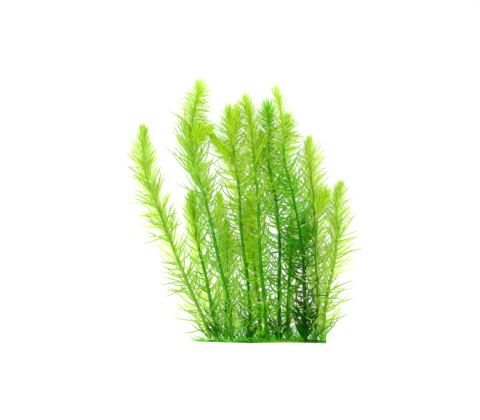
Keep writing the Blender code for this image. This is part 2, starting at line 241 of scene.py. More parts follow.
# Soft leaves grow mostly on the side near the floor, and firm ones on the other. The soft ones carry painted
# glow, a pale lime that stands in for light shining up through thin leaves
softLeaf = {
    "width": 1.25,
    "longer": 0.95,  # times the habit's length
    "sag": 1.5,
    "laidFlat": 0.9,  # share of the way from square to the stem to level
    "worn": 0.4,
}
firmLeaf = {"width": 0.66, "longer": 1.04, "sag": 0.0, "laidFlat": 0.8, "worn": 1.0}

# How leaves change with the distance below the tip, in mm
ageing = {
    "below": (0.0, 8.0, 26.0, 60.0, 100.0),
    "dark": (0.45, 0.65, 0.9, 1.0, 1.0),  # how far firm ones take the aged greens, darker with age and with painted shade
    "firmBroad": (0.95, 0.95, 1.0, 1.2, 1.3),  # times the width of the firm ones
    "pale": (0.25, 0.8, 1.0, 1.0, 1.0),  # painted glow of the soft ones, which lights them up down the stem where they lie in shade
    "unruly": (0.8, 0.8, 0.9, 1.3, 1.6),  # how far leaves stray from the habit
    "softAbove": (0.5, 0.4, 0.2, 0.05, 0.0),  # share of soft leaves, with their painted glow, on the upper side
    "softBelow": (0.65, 0.8, 0.9, 0.9, 0.85),  # and on the floor side
    "leftAbove": (1.0, 0.75, 0.46, 0.42, 0.48),  # share of the upper side's leaves that haven't dropped
    "leftBelow": (1.0, 1.0, 1.0, 0.84, 0.52),
}
# Soft leaves of a stem that lies high over others are rare down its length
highStem = {"heights": (4.0, 8.0), "below": (50.0, 80.0), "fewer": 0.6}
# The lowest leaves hug the foot of a shoot and are darker
footLeaves = {
    "startAngle": 38.0,
    "endAngle": 16.0,
    "length": 0.75,
    "crowding": 0.8,
    "fewerSoft": 0.7,
    "darker": 0.6,
}
# How each leaf differs in colour from its stem's tones
leafTones = {
    "at": (0.0, 28.5, 95.0),  # mm below the tip, where a look's three tones hold
    "jitter": 0.07,
    "upperSidePaintedShade": 0.05,  # painted shade: leaves on the upper side a little darker, as leaves seen against the light
    "paleJitter": (0.5, 1.2),
    "patternAcross": 0.4,  # from the midrib to the edge, in the skin's patterns
    "patternApart": 3.7,  # each leaf reads its own part of the skin's patterns
}


def downStem(below, table, key):
    return np.interp(below, table["below"], table[key])


def nearFoot(where, look):
    # 1 at the foot of a shoot, falling to 0 at the end of its dark foot
    if look["darkFoot"] == 0.0:
        return np.zeros(len(where))
    return np.clip(1.0 - where / look["darkFoot"], 0.0, 1.0)


def leafPlaces(route, look, bareFoot, rng):
    # leaf k sits where the density, summed down from the tip, reaches k
    length = route["lengths"][-1]
    below = np.linspace(0.0, length - bareFoot, leafForm["countedAt"])
    density = downStem(below, look["habit"], "density") * look["crowding"] * leafForm["crowding"]
    density = density * (1.0 + footLeaves["crowding"] * nearFoot(length - below, look))
    count = np.concatenate([[0.0], np.cumsum((density[1:] + density[:-1]) / 2 * np.diff(below))])
    wanted = np.arange(0.5, count[-1])
    jitter = rng.uniform(-leafForm["placeJitter"], leafForm["placeJitter"], len(wanted))
    return np.interp(wanted + jitter, count, below), wanted * goldenTurn


def growLeaves(route, look, bareFoot, rng):
    # leaves in a spiral about the stem, less the dropped ones: out = cos(turn) * side + sin(turn) * lift
    below, turn = leafPlaces(route, look, bareFoot, rng)
    count = len(below)
    where = route["lengths"][-1] - below
    run = unit(readRoute(route, where, "runs"))
    side, lift = frameAlong(run)
    turn = turn + np.radians(rng.normal(0.0, leafForm["turnJitter"], count))
    out = np.cos(turn)[:, None] * side + np.sin(turn)[:, None] * lift
    if look["shootsSideOnly"]:
        out[:, 1] = np.abs(out[:, 1])
    atFoot = nearFoot(where, look)
    leftAbove = downStem(below, ageing, "leftAbove")
    left = np.where(out[:, 2] > 0.0, leftAbove, downStem(below, ageing, "leftBelow"))
    kept = rng.uniform(0.0, 1.0, count) < np.maximum(left, atFoot)
    leaf = {"below": below, "where": where, "run": run, "out": out, "atFoot": atFoot}
    return {key: values[kept] for key, values in leaf.items()}


def giveHabits(leaf, route, look, rng):
    # soft or firm by chance, then value = habit + normal stray * settle, drawn towards the foot leaves'
    # value near the foot
    below, out, atFoot = leaf["below"], leaf["out"], leaf["atFoot"]
    count = len(below)
    upward = shareBetween(out[:, 2], *leafForm["upperSide"])
    softBelow = downStem(below, ageing, "softBelow")
    softShare = softBelow + (downStem(below, ageing, "softAbove") - softBelow) * upward
    height = readRoute(route, leaf["where"], "places")[:, 2]
    high = shareBetween(height, *highStem["heights"])
    down = shareBetween(below, *highStem["below"])
    softShare = softShare * (1.0 - highStem["fewer"] * high * down)
    softShare = softShare * (1.0 - footLeaves["fewerSoft"] * atFoot)
    soft = rng.uniform(0.0, 1.0, count) < softShare
    leaf["soft"] = soft
    for key in softLeaf:
        leaf[key] = np.where(soft, softLeaf[key], firmLeaf[key])

    settle = np.clip(leafForm["strayAtTip"] + below / leafForm["strayGrows"], 0.0, 1.0)
    leaf["settle"] = settle
    unruly = downStem(below, ageing, "unruly")
    stray = leafForm["angleJitter"] * unruly
    lean = rng.normal(0.0, 1.0, count) * stray + look["sideLean"] * out[:, 0]
    startAngle = downStem(below, look["habit"], "startAngle") + lean * settle
    startAngle = startAngle + (footLeaves["startAngle"] - startAngle) * atFoot
    leaf["startAngle"] = np.radians(np.clip(startAngle, *leafForm["startLimits"]))
    bend = rng.normal(0.0, 1.0, count) * stray
    wildShare = leafForm["wildShare"]
    bend = bend * rng.choice((1.0, leafForm["wildBend"]), count, p=(1.0 - wildShare, wildShare))
    endAngle = downStem(below, look["habit"], "endAngle") + (lean + bend) * settle
    leaf["endAngle"] = np.radians(endAngle + (footLeaves["endAngle"] - endAngle) * atFoot)
    stretch = rng.normal(0.0, leafForm["lengthJitter"], count).clip(*leafForm["lengthLimits"])
    length = downStem(below, look["habit"], "length") * (1.0 + stretch * settle)
    length = length * (1.0 + (look["leafSize"] * leaf["longer"] - 1.0) * settle)
    leaf["length"] = length * (1.0 + (footLeaves["length"] - 1.0) * atFoot)
    leaf["sideBend"] = np.radians(rng.normal(0.0, leafForm["sideBend"], count)) * settle * unruly
    leaf["twist"] = np.radians(rng.normal(0.0, leafForm["twist"], count))
    leaf["laidFlat"] = leaf["laidFlat"] * rng.uniform(*leafForm["flatJitter"], count)


def leafArcs(leaf, route, rng):
    # centre lines made step by step: ahead(t) = cos(angle) * run + sin(angle) * (cos(swing) * out
    # + sin(swing) * across), where angle goes from startAngle to endAngle and swing from 0 to sideBend.
    # Limp leaves hang down to what they lie on, and none goes below the floor or past the foot line.
    run, out = leaf["run"], leaf["out"]
    across = np.cross(run, out)
    segments = leafForm["segments"]
    t = np.linspace(0.0, 1.0, segments + 1)
    step = leaf["length"] / segments
    count = len(step)
    footRadius = np.interp(leaf["where"], route["lengths"], route["radii"]) - leafForm["footSink"]
    centre = np.zeros((count, segments + 1, 3))
    heading = np.zeros((count, segments + 1, 3))
    centre[:, 0] = readRoute(route, leaf["where"], "places") + out * footRadius[:, None]
    floorRoom = leafForm["thickness"] * 0.5 + rng.uniform(0.0, leafForm["floorRoom"], count)
    for ring in range(segments + 1):
        bent = t[ring] ** leafForm["bendEase"]
        angle = leaf["startAngle"] + (leaf["endAngle"] - leaf["startAngle"]) * bent
        swing = leaf["sideBend"] * t[ring]
        outward = np.cos(swing)[:, None] * out + np.sin(swing)[:, None] * across
        ahead = np.cos(angle)[:, None] * run + np.sin(angle)[:, None] * outward
        hanging = shareBetween(centre[:, ring, 2], *leafForm["sagBetween"])
        ahead[:, 2] -= leaf["sag"] * (1.0 - t[ring]) * hanging
        ahead = unit(ahead)
        lowest = (floorRoom - centre[:, ring, 2]) / (leafForm["landing"] * step)
        lowest = np.minimum(lowest, leafForm["steepestUp"][0])
        level = np.linalg.norm(ahead[:, :2], axis=1)
        lying = np.sqrt(1.0 - np.clip(lowest, -0.99, 0.99) ** 2) / np.maximum(level, 1e-6)
        low = ahead[:, 2] < lowest
        ahead[:, :2] *= np.where(low, lying, 1.0)[:, None]
        ahead[:, 2] = np.where(low, lowest, ahead[:, 2])
        ahead = unit(ahead)
        towardsFoot = (centre[:, ring, 1] - leafForm["footLine"]) / (leafForm["landing"] * step)
        ahead[:, 1] = np.maximum(ahead[:, 1], -np.minimum(towardsFoot, leafForm["steepestUp"][1]))
        heading[:, ring] = unit(ahead)
        if ring < segments:
            centre[:, ring + 1] = centre[:, ring] + heading[:, ring] * step[:, None]
    return t, centre, heading


def bladeVerts(leaf, look, t, centre, heading):
    # a thin three-cornered section, two edges above and a keel below, carried along the centre line:
    # half width = width / 2 * rise(t) * taper(t) ** widthTaper
    # half depth = thickness / 2 * taper(t) ** depthTaper
    # where rise is a quarter sine up to widestAt, and taper falls straight from there to the tip.
    # Across the blade it goes from square to the stem towards level, the same way round for the whole leaf.
    across = np.cross(leaf["run"], leaf["out"])
    laidFlat = leaf["laidFlat"][:, None, None]
    flat = unit(np.cross(heading, leaf["out"][:, None]) + 0.001 * across[:, None])
    level = unit(np.cross(heading, (0.0, 0.0, 1.0)))
    sameWay = np.sign((flat * level).sum(axis=-1).mean(axis=1) + 0.0001)[:, None, None]
    flat = unit(flat * (1.0 - laidFlat) + level * sameWay * laidFlat)
    face = np.cross(heading, flat)
    upturned = np.sign(face[..., 2].mean(axis=1) + 0.0001)[:, None, None]
    flat, face = flat * upturned, face * upturned
    spin = leaf["twist"][:, None] * (leafForm["twistAtFoot"] + (1.0 - leafForm["twistAtFoot"]) * t[None])
    wide = np.cos(spin)[..., None] * flat + np.sin(spin)[..., None] * face
    deep = np.cross(heading, wide)
    rise = np.sin(np.clip(t / leafForm["widestAt"], 0.0, 1.0) * math.pi / 2)
    rise = rise * (1.0 - leafForm["footWidth"]) + leafForm["footWidth"]
    taper = np.clip((1.0 - t) / (1.0 - leafForm["widestAt"]), 0.0, 1.0)
    softBroad = np.interp(leaf["below"], ageing["below"], look["softBroad"])
    broad = np.where(leaf["soft"], softBroad, downStem(leaf["below"], ageing, "firmBroad"))
    grown = np.clip(leaf["length"] / leafForm["fullWidthAt"], *leafForm["widthLimits"]) * broad
    halfWide = (rise * taper ** leafForm["widthTaper"])[None] * (grown * leaf["width"] / 2)[:, None]
    halfDeep = (leafForm["thickness"] / 2 * taper ** leafForm["depthTaper"])[None] * grown[:, None]
    sideways = wide * halfWide[..., None]
    keel = deep * halfDeep[..., None]
    sections = np.stack([centre + sideways + keel, centre - sideways + keel, centre - keel], axis=2)
    sections = sections[:, :-1].reshape(len(centre), -1, 3)
    verts = np.concatenate([sections, centre[:, :1], centre[:, -1:]], axis=1)
    verts[..., 2] = np.maximum(verts[..., 2], leafForm["lowest"])
    return verts


def leafMarks(leaf, look, perLeaf, rng):
    # what the skin reads: the place on the leaf, and a tone, a chance, painted glow, age with painted shade
    # and wear for each leaf
    below, out, soft, atFoot = leaf["below"], leaf["out"], leaf["soft"], leaf["atFoot"]
    count = len(below)
    segments = leafForm["segments"]
    along = np.concatenate([np.repeat(np.linspace(0.0, 1.0, segments + 1)[:-1], 3), [0.0, 1.0]])
    across = np.concatenate([np.tile([1.0, -1.0, 0.0], segments), [0.0, 0.0]])
    tone = np.interp(below, leafTones["at"], look["tones"]) * np.where(soft, look["softTone"], 1.0)
    tone = tone + rng.normal(0.0, leafTones["jitter"], count)
    # painted shade: a darker tone for leaves on the upper side
    tone = tone + leafTones["upperSidePaintedShade"] * out[:, 2] + footLeaves["darker"] * atFoot
    softPaintedGlow = (look["pale"][0] + downStem(below, ageing, "pale")) * look["softPaintedGlow"]
    pale = np.where(soft, softPaintedGlow, look["pale"][1])
    pale = pale * rng.uniform(*leafTones["paleJitter"], count) * (1.0 - atFoot)
    ageAndPaintedShade = np.where(soft, 0.0, downStem(below, ageing, "dark") * look["firmness"])
    perLeafMarks = {
        "tone": tone,
        "chance": rng.uniform(0.0, 1.0, count),
        "pale": pale.clip(0.0, 1.0),
        "ageAndPaintedShade": ageAndPaintedShade,
        "worn": leaf["settle"] * (1.0 - atFoot) * leaf["worn"],
    }
    marks = {key: np.repeat(values, perLeaf) for key, values in perLeafMarks.items()}
    marks["along"] = np.tile(along, count)
    marks["across"] = np.tile(across, count)
    own = np.stack([
        marks["across"] * leafTones["patternAcross"],
        marks["along"] * np.repeat(leaf["length"], perLeaf),
        np.repeat(np.arange(count) * leafTones["patternApart"], perLeaf),
    ], axis=-1)
    return own, marks


def leafMesh(route, look, bareFoot, rng):
    leaf = growLeaves(route, look, bareFoot, rng)
    giveHabits(leaf, route, look, rng)
    t, centre, heading = leafArcs(leaf, route, rng)
    verts = bladeVerts(leaf, look, t, centre, heading)
    count, perLeaf = verts.shape[:2]
    own, marks = leafMarks(leaf, look, perLeaf, rng)
    segments = leafForm["segments"]
    shift = (np.arange(count) * perLeaf)[:, None, None]
    faces = [(shift + part[None]).reshape(-1, part.shape[1]) for part in closedFaces(segments, 3)]
    ringOf = np.tile(np.concatenate([np.repeat(np.arange(segments), 3), [-1, segments + 1]]), count)
    return verts.reshape(-1, 3), own, marks, faces, ringOf, count


def putMesh(name, verts, faces, own, marks, ringOf=None):
    # faces is a list of arrays, each with one number of corners
    mesh = bpy.data.meshes.new(name)
    corners = np.concatenate([part.ravel() for part in faces])
    sizes = np.concatenate([np.full(len(part), part.shape[1]) for part in faces])
    starts = np.concatenate([[0], np.cumsum(sizes)[:-1]])
    mesh.vertices.add(len(verts))
    mesh.vertices.foreach_set("co", (verts * mm).astype(np.float32).ravel())
    mesh.loops.add(len(corners))
    mesh.loops.foreach_set("vertex_index", corners.astype(np.int32))
    mesh.polygons.add(len(sizes))
    mesh.polygons.foreach_set("loop_start", starts.astype(np.int32))
    mesh.update(calc_edges=True)
    ownPlaces = mesh.attributes.new("own", "FLOAT_VECTOR", "POINT")
    ownPlaces.data.foreach_set("vector", own.astype(np.float32).ravel())
    for key, values in marks.items():
        mark = mesh.attributes.new(key, "FLOAT", "POINT")
        mark.data.foreach_set("value", values.astype(np.float32))
    mesh.shade_smooth()
    if ringOf is not None:
        # edges that run from ring to ring are creases, so that thin flat blades stay flat
        ends = np.empty(len(mesh.edges) * 2, dtype=np.int32)
        mesh.edges.foreach_get("vertices", ends)
        crease = mesh.attributes.new("sharp_edge", "BOOLEAN", "EDGE")
        crease.data.foreach_set("value", ringOf[ends[0::2]] != ringOf[ends[1::2]])
    piece = bpy.data.objects.new(name, mesh)
    bpy.context.scene.collection.objects.link(piece)
    return piece


# Skins

# Greens by tone, from 0, pale lime, to 1, nearly black green
leafGreens = [
    (0.0, (0.84, 0.97, 0.06)),
    (0.2, (0.7, 0.96, 0.018)),
    (0.4, (0.44, 0.92, 0.006)),
    (0.6, (0.14, 0.8, 0.003)),
    (0.8, (0.015, 0.55, 0.002)),
    (1.0, (0.003, 0.2, 0.001)),
]
# Greens of firm leaves down the stem: darker with age, and painted darker still as shade on leaves that stand
# against the light
ageAndPaintedShadeGreens = [
    (0.0, (0.54, 0.71, 0.05)),
    (0.2, (0.44, 0.67, 0.014)),
    (0.4, (0.31, 0.64, 0.006)),
    (0.6, (0.13, 0.56, 0.003)),
    (0.8, (0.02, 0.4, 0.002)),
    (1.0, (0.002, 0.11, 0.001)),
]
stemGreens = [
    (0.0, (0.4, 0.6, 0.03)),
    (0.25, (0.2, 0.42, 0.008)),
    (0.5, (0.08, 0.32, 0.003)),
    (0.75, (0.014, 0.2, 0.002)),
    (1.0, (0.002, 0.04, 0.001)),
]
leafColours = {
    "browned": (0.28, 0.27, 0.01),
    # painted glow: a pale lime that stands in for light shining through thin leaves
    "pale": (0.88, 0.99, 0.46),
    "wornTip": (0.13, 0.27, 0.015),
    "midrib": (0.05, 0.2, 0.01),
    "lightThrough": (0.6, 0.8, 0.01),
}
leafPattern = {
    "mottleScale": 0.55,
    "mottle": (-0.07, 0.07),  # added to the tone
    "footToTip": (-0.05, 0.06),
    "brownedFrom": 0.7,  # leaves with a higher chance brown
    "brownedMost": 0.35,
    "paleMost": 0.85,
    "wornFrom": 0.45,  # share of the leaf's length
    "wornMost": 0.6,
    "wornByChance": (0.3, 0.8),
    "wornLeast": 0.1,  # share of the wear that every leaf has
    "midribWidth": 0.3,  # share of the half width
    "midribDarker": 0.12,
    "midribHeight": 0.6,  # share of the relief
    "cellScale": 5.0,
    "cellHeight": 0.4,
    "relief": 0.06,  # mm
    "throughTint": 0.3,
}
stemPattern = {
    "stretch": (2.2, 2.2, 0.25),  # streaks are long down the stem
    "streakScale": 1.6,
    "streaks": (-0.13, 0.13),  # added to the tone
    "relief": 0.1,  # mm
    "roughness": (0.34, 0.55),
    "blotchScale": 0.35,
    "blotches": (0.4, 0.65),  # noise over which the red sets in
    "red": (0.2, 0.06, 0.01),
}
noiseMiddle = (0.3, 0.7)  # the part of a noise's range that the patterns use
leafSkins = {
    # share of the light that passes through young leaves and through old ones
    "young_shoot": {"lightThrough": (0.65, 0.4), "roughness": (0.32, 0.5)},
    "green_shoot": {"lightThrough": (0.65, 0.4), "roughness": (0.32, 0.5)},
    "dark_shoot": {"lightThrough": (0.6, 0.35), "roughness": (0.34, 0.52)},
    "base_stem": {"lightThrough": (0.6, 0.3), "roughness": (0.4, 0.6)},
}


def addNode(tree, kind, inputs=None, **settings):
    node = tree.nodes.new(kind)
    for key, value in settings.items():
        setattr(node, key, value)
    for key, value in (inputs or {}).items():
        if isinstance(value, bpy.types.NodeSocket):
            tree.links.new(value, node.inputs[key])
        elif node.inputs[key].type == "RGBA":
            node.inputs[key].default_value = (*value, 1.0)
        else:
            node.inputs[key].default_value = value
    return node


def attribute(tree, name, output="Fac"):
    return addNode(tree, "ShaderNodeAttribute", attribute_name=name).outputs[output]


def added(tree, first, second):
    return addNode(tree, "ShaderNodeMath", {0: first, 1: second}, operation="ADD").outputs[0]


def times(tree, first, second):
    return addNode(tree, "ShaderNodeMath", {0: first, 1: second}, operation="MULTIPLY").outputs[0]


def remap(tree, value, ends, becomes):
    inputs = {"Value": value, "From Min": ends[0], "From Max": ends[1]}
    inputs.update({"To Min": becomes[0], "To Max": becomes[1]})
    return addNode(tree, "ShaderNodeMapRange", inputs).outputs["Result"]


def ramp(tree, value, stops):
    node = addNode(tree, "ShaderNodeValToRGB", {"Fac": value})
    elements = node.color_ramp.elements
    while len(elements) < len(stops):
        elements.new(0.5)
    for element, (place, colour) in zip(elements, stops):
        element.position = place
        element.color = (*colour, 1.0)
    return node.outputs["Color"]


def blendColours(tree, share, first, second, how="MIX"):
    inputs = {0: share, 6: first, 7: second}
    return addNode(tree, "ShaderNodeMix", inputs, data_type="RGBA", blend_type=how).outputs[2]


def noise(tree, place, scale, detail):
    inputs = {"Vector": place, "Scale": scale, "Detail": detail}
    return addNode(tree, "ShaderNodeTexNoise", inputs).outputs["Fac"]


def bumps(tree, height, depth):
    inputs = {"Height": height, "Strength": 0.5, "Distance": depth}
    return addNode(tree, "ShaderNodeBump", inputs).outputs["Normal"]


def wetTissue(tree, green, rough, bump):
    return addNode(tree, "ShaderNodeBsdfPrincipled", {
        "Base Color": green, "Roughness": rough, "Normal": bump, "IOR": 1.4, "Specular IOR Level": 0.05,
    }).outputs["BSDF"]


def emptyMaterial(name):
    material = bpy.data.materials.new(name)
    material.use_nodes = True
    material.node_tree.nodes.clear()
    return material, material.node_tree


def leafSkin(name, skin):
    # greens by tone, darkened on firm leaves by age and painted shade, browned and given painted glow leaf by
    # leaf, with worn tips, a darker midrib and fine cells
    material, tree = emptyMaterial(name)
    own = attribute(tree, "own", "Vector")
    along = attribute(tree, "along")
    across = {0: attribute(tree, "across")}
    fromMidrib = addNode(tree, "ShaderNodeMath", across, operation="ABSOLUTE").outputs[0]
    chance = attribute(tree, "chance")
    ageAndPaintedShade = attribute(tree, "ageAndPaintedShade")
    worn = attribute(tree, "worn")
    mottle = noise(tree, own, leafPattern["mottleScale"], 3.0)
    tone = added(tree, attribute(tree, "tone"), remap(tree, mottle, noiseMiddle, leafPattern["mottle"]))
    tone = added(tree, tone, remap(tree, along, (0.0, 1.0), leafPattern["footToTip"]))
    # firm leaves darken with age and with painted shade
    green = blendColours(tree, ageAndPaintedShade, ramp(tree, tone, leafGreens), ramp(tree, tone, ageAndPaintedShadeGreens))
    browned = remap(tree, chance, (leafPattern["brownedFrom"], 1.0), (0.0, leafPattern["brownedMost"]))
    browned = times(tree, times(tree, ageAndPaintedShade, browned), worn)
    green = blendColours(tree, browned, green, leafColours["browned"])
    # painted glow: leaves lifted towards pale lime, as if lit through from below
    pale = times(tree, attribute(tree, "pale"), leafPattern["paleMost"])
    green = blendColours(tree, pale, green, leafColours["pale"])
    wornTip = remap(tree, along, (leafPattern["wornFrom"], 1.0), (0.0, leafPattern["wornMost"]))
    wornHere = remap(tree, chance, leafPattern["wornByChance"], (leafPattern["wornLeast"], 1.0))
    wornTip = times(tree, times(tree, wornTip, worn), wornHere)
    green = blendColours(tree, wornTip, green, leafColours["wornTip"])
    midribWidth = (0.0, leafPattern["midribWidth"])
    midrib = remap(tree, fromMidrib, midribWidth, (leafPattern["midribDarker"], 0.0))
    green = blendColours(tree, midrib, green, leafColours["midrib"])
    cells = noise(tree, own, leafPattern["cellScale"], 2.0)
    rough = remap(tree, cells, noiseMiddle, skin["roughness"])
    raised = remap(tree, fromMidrib, midribWidth, (leafPattern["midribHeight"], 0.0))
    height = added(tree, times(tree, cells, leafPattern["cellHeight"]), raised)
    bump = bumps(tree, height, leafPattern["relief"] * mm)
    blade = wetTissue(tree, green, rough, bump)
    passed = blendColours(tree, leafPattern["throughTint"], green, leafColours["lightThrough"], "SCREEN")
    through = addNode(tree, "ShaderNodeBsdfTranslucent", {"Color": passed, "Normal": bump}).outputs["BSDF"]
    share = remap(tree, ageAndPaintedShade, (0.0, 1.0), skin["lightThrough"])
    mix = addNode(tree, "ShaderNodeMixShader", {0: share, 1: blade, 2: through}).outputs["Shader"]
    addNode(tree, "ShaderNodeOutputMaterial", {"Surface": mix})
    return material


def stemSkin(name):
    # greens by tone, with long streaks down the stem and red blotches where the look asks for them
    material, tree = emptyMaterial(name)
    own = attribute(tree, "own", "Vector")
    stretch = {"Vector": own, "Scale": stemPattern["stretch"]}
    stretched = addNode(tree, "ShaderNodeMapping", stretch).outputs["Vector"]
    streaks = noise(tree, stretched, stemPattern["streakScale"], 4.0)
    tone = added(tree, attribute(tree, "tone"), remap(tree, streaks, noiseMiddle, stemPattern["streaks"]))
    blotches = noise(tree, own, stemPattern["blotchScale"], 3.0)
    blotches = remap(tree, blotches, stemPattern["blotches"], (0.0, 1.0))
    reddened = times(tree, attribute(tree, "redness"), blotches)
    green = blendColours(tree, reddened, ramp(tree, tone, stemGreens), stemPattern["red"])
    rough = remap(tree, streaks, noiseMiddle, stemPattern["roughness"])
    shader = wetTissue(tree, green, rough, bumps(tree, streaks, stemPattern["relief"] * mm))
    addNode(tree, "ShaderNodeOutputMaterial", {"Surface": shader})
    return material


# Habits: how leaves stand down a stem, at distances in mm below its tip. Angles are degrees from the
# stem, where a leaf starts and where it ends, lengths are in mm, and density is leaves a mm.

openHabit = {  # leaves that stand open and curve up
    "below": (0.0, 4.0, 12.0, 26.0, 50.0, 90.0),
    "startAngle": (12.0, 38.0, 60.0, 52.0, 70.0, 90.0),
    "endAngle": (0.0, 16.0, 58.0, 42.0, 20.0, 14.0),
    "length": (7.0, 9.0, 11.0, 14.0, 15.5, 14.0),
    "density": (12.0, 12.0, 6.4, 4.8, 4.0, 2.2),
}
closedHabit = dict(  # a long closed tuft, and straight slanting leaves below it
    openHabit,
    startAngle=(12.0, 28.0, 50.0, 44.0, 50.0, 66.0),
    endAngle=(0.0, 0.0, 56.0, 44.0, 50.0, 40.0),
    length=(5.6, 8.0, 10.0, 13.0, 15.0, 14.5),
    density=(14.0, 14.0, 7.4, 5.4, 4.6, 3.2),
)
steepHabit = dict(  # leaves close to the stem in the upper part
    openHabit,
    startAngle=(8.0, 28.0, 42.0, 46.0, 66.0, 90.0),
    endAngle=(6.0, 24.0, 30.0, 28.0, 18.0, 14.0),
    length=(6.0, 8.0, 11.5, 14.0, 15.0, 14.0),
    density=(10.0, 10.0, 8.5, 4.4, 2.4, 1.6),
)
recurvedHabit = {  # a crown that curves back, over long leaves that curve up
    "below": (0.0, 4.0, 10.0, 22.0, 32.0, 55.0, 90.0),
    "startAngle": (16.0, 52.0, 70.0, 64.0, 42.0, 50.0, 84.0),
    "endAngle": (14.0, 74.0, 106.0, 92.0, 22.0, 20.0, 14.0),
    "length": (9.0, 7.5, 10.0, 12.5, 17.0, 17.0, 14.5),
    "density": (9.0, 12.0, 8.0, 6.0, 6.4, 5.8, 2.2),
}
smileHabit = dict(  # leaves that start square to the stem and curve up
    openHabit,
    startAngle=(12.0, 44.0, 64.0, 80.0, 90.0, 92.0),
    endAngle=(4.0, 24.0, 40.0, 22.0, 14.0, 12.0),
    length=(7.0, 8.5, 11.5, 14.5, 15.5, 14.0),
    density=(9.0, 10.0, 6.4, 5.0, 3.9, 1.9),
)
starHabit = {  # a short crown that spreads flat, over leaves as in smileHabit
    "below": (0.0, 4.0, 10.0, 20.0, 30.0, 44.0, 60.0, 95.0),
    "startAngle": (12.0, 44.0, 76.0, 80.0, 74.0, 82.0, 92.0, 92.0),
    "endAngle": (0.0, 24.0, 80.0, 50.0, 26.0, 18.0, 14.0, 12.0),
    "length": (5.0, 8.0, 10.5, 13.5, 15.5, 16.0, 15.5, 14.0),
    "density": (12.0, 14.0, 11.0, 7.5, 6.0, 5.4, 5.0, 3.6),
}
chevronHabit = dict(  # a wide dense crown of leaves that point up in a V
    openHabit,
    startAngle=(20.0, 66.0, 70.0, 58.0, 66.0, 84.0),
    endAngle=(0.0, 24.0, 40.0, 30.0, 18.0, 14.0),
    length=(7.6, 8.0, 8.5, 12.0, 15.0, 14.0),
    density=(14.0, 14.0, 8.5, 4.2, 3.8, 2.4),
)
plumeHabit = dict(  # a loose plume with few leaves
    openHabit,
    startAngle=(8.0, 24.0, 46.0, 56.0, 60.0, 60.0),
    endAngle=(4.0, 14.0, 50.0, 56.0, 56.0, 56.0),
    length=(8.5, 8.5, 9.5, 11.0, 12.0, 12.0),
    density=(11.0, 9.0, 4.5, 3.0, 2.4, 2.4),
)
creepingHabit = {  # small leaves that stand up from the base stem
    "below": (0.0, 10.0, 14.0, 62.0, 70.0, 80.0),
    "startAngle": (20.0, 40.0, 60.0, 60.0, 60.0, 60.0),
    "endAngle": (10.0, 40.0, 80.0, 90.0, 90.0, 90.0),
    "length": (6.0, 8.0, 10.0, 10.0, 9.0, 8.0),
    "density": (1.0, 1.5, 3.5, 4.5, 3.0, 1.0),
}

